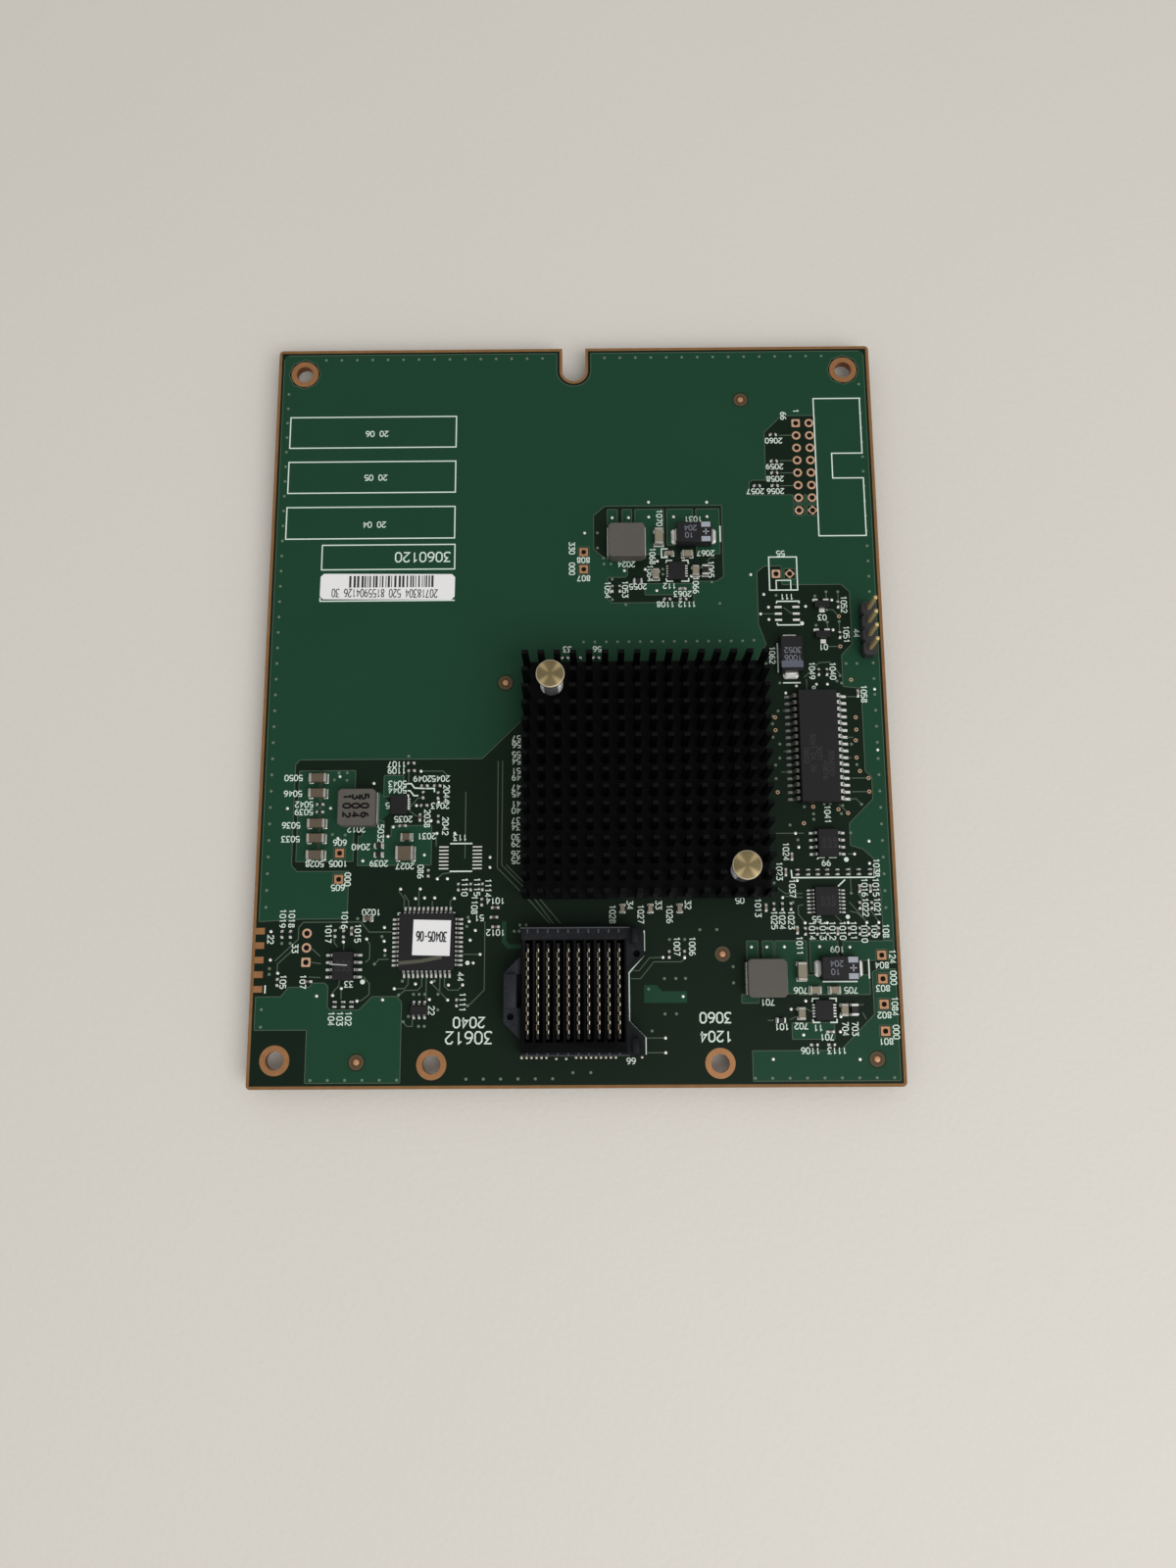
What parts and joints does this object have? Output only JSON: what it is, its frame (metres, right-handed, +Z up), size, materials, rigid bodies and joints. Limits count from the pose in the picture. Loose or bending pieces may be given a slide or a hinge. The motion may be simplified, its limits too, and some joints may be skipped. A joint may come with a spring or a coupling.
{
  "type": "raid expansion module",
  "caption": "Green storage controller board with a pin-fin heat sink, a wafer mating connector, a pin header and small power parts.",
  "frame": {"origin": "under the middle of the board, in the plane that the pin tips rest on", "axes": "+Z up from the board's component side, +Y towards the notched edge, +X to the right seen from above"},
  "size_m": [0.1142, 0.1396, 0.0171],
  "materials": {
    "mask_dark": "satin solder mask over bare laminate",
    "mask_light": "solder mask over copper",
    "bare_copper": "coated copper",
    "solder": "tinned pad",
    "white_print": "screen print",
    "paper": "paper",
    "chip_substrate": "matte",
    "paste": "matte",
    "black_anodised": "black anodised",
    "brass": "dull",
    "spring_steel": "bright",
    "connector_plastic": "moulded",
    "wafer_plastic": "moulded",
    "gold_contacts": "gold plated",
    "header_plastic": "moulded",
    "black_epoxy": "moulded",
    "tinned_leads": "tinned",
    "iron_powder": "pressed powder",
    "tantalum_epoxy": "moulded",
    "band_print": "printed",
    "tan_ceramic": "fired",
    "resistor_black": "glazed"
  },
  "bodies": {
    "root": {"circuit_board": "mask_dark", "copper_pours": "mask_light", "mounting_rings": "bare_copper", "through_hole_lands": "bare_copper", "test_pads": "solder", "fiducials": "bare_copper", "edge_fingers": "bare_copper", "print_frames": "white_print", "barcode_label": "paper", "controller_package": "chip_substrate", "thermal_paste": "paste", "heat_sink": "black_anodised", "push_pins": "brass", "pin_springs": "spring_steel", "connector_housing": "connector_plastic", "connector_wafers": "wafer_plastic", "connector_contacts": "gold_contacts", "header_base": "header_plastic", "header_pins": "gold_contacts", "memory_body": "black_epoxy", "memory_leads": "tinned_leads", "logic_body": "black_epoxy", "logic_leads": "tinned_leads", "logic_tag": "paper", "small_chip_bodies": "black_epoxy", "small_chip_leads": "tinned_leads", "regulator_chips": "black_epoxy", "choke_blocks": "iron_powder", "choke_terminals": "tinned_leads", "tantalum_bodies": "tantalum_epoxy", "tantalum_terminals": "tinned_leads", "tantalum_bands": "band_print", "ceramic_bodies": "tan_ceramic", "ceramic_ends": "tinned_leads", "resistor_bodies": "resistor_black", "resistor_ends": "tinned_leads", "underside_bodies": "tan_ceramic", "underside_ends": "tinned_leads"}
  },
  "joints": []
}
